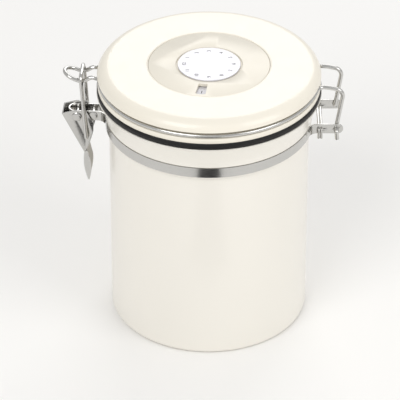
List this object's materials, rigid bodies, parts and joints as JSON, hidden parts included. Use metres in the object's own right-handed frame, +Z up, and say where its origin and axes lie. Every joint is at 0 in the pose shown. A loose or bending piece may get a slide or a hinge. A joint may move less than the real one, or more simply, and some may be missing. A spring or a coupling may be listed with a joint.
{
  "type": "coffee canister",
  "caption": "Steel coffee canister with a clamp lid on a wire hinge, a lever latch with a wire bail, a turning date dial and a one-way valve.",
  "frame": {"origin": "middle of the base plate's lower face", "axes": "+Z up through the lid, +X towards the hinge, -X towards the latch, -Y the side seen in front"},
  "size_m": [0.1741, 0.1386, 0.1751],
  "materials": {
    "body_paint": "satin",
    "lid_paint": "satin",
    "band_steel": "polished",
    "wire_steel": "polished",
    "seal_rubber": "matte",
    "dial_plastic": "satin",
    "label_plastic": "satin",
    "valve_plastic": "satin",
    "valve_rubber": "matte",
    "filter_felt": "matte"
  },
  "bodies": {
    "canister": {"body_shell": "body_paint", "base_plate": "body_paint", "neck_band": "band_steel", "band_tie": "wire_steel", "ear_rivet": "band_steel", "lever_rivet": "band_steel"},
    "lid": {"lid_cover": "lid_paint", "lid_pan": "lid_paint", "lid_gasket": "seal_rubber", "lid_wire": "wire_steel", "dial_well": "dial_plastic", "day_ring": "label_plastic", "valve_housing": "valve_plastic", "valve_filter": "filter_felt", "valve_nut": "valve_plastic"},
    "date_dial": {"date_ring": "dial_plastic"},
    "month_dial": {"month_disc": "label_plastic", "dial_screw": "wire_steel"},
    "valve_flap": {"valve_disc": "valve_rubber"},
    "lever": {"latch_lever": "band_steel"},
    "bail": {"latch_bail": "wire_steel"}
  },
  "joints": [
    {"name": "lid_hinge", "type": "hinge", "parent": "canister", "child": "lid", "pos_m": [0.0783, 0, 0.1372], "axis": [0, 1, 0], "range_deg": [0, 105]},
    {"name": "date_turn", "type": "hinge", "parent": "lid", "child": "date_dial", "pos_m": [0, 0, 0.174], "axis": [0, 0, 1], "continuous": true},
    {"name": "month_turn", "type": "hinge", "parent": "lid", "child": "month_dial", "pos_m": [0, 0, 0.174], "axis": [0, 0, 1], "continuous": true},
    {"name": "valve_lift", "type": "slide", "parent": "lid", "child": "valve_flap", "axis": [0, 0, 1], "range_m": [0, 0.0008]},
    {"name": "lever_turn", "type": "hinge", "parent": "canister", "child": "lever", "pos_m": [-0.08136, 0.00569, 0.1373], "axis": [0.0698, 0.9976, 0], "range_deg": [0, 120]},
    {"name": "bail_turn", "type": "hinge", "parent": "lever", "child": "bail", "pos_m": [-0.07557, 0.00528, 0.123], "axis": [0.0698, 0.9976, 0], "range_deg": [-84, 0]}
  ],
  "couplings": [
    {"joint": "bail_turn", "follows": "lever_turn", "ratio": -0.7}
  ]
}
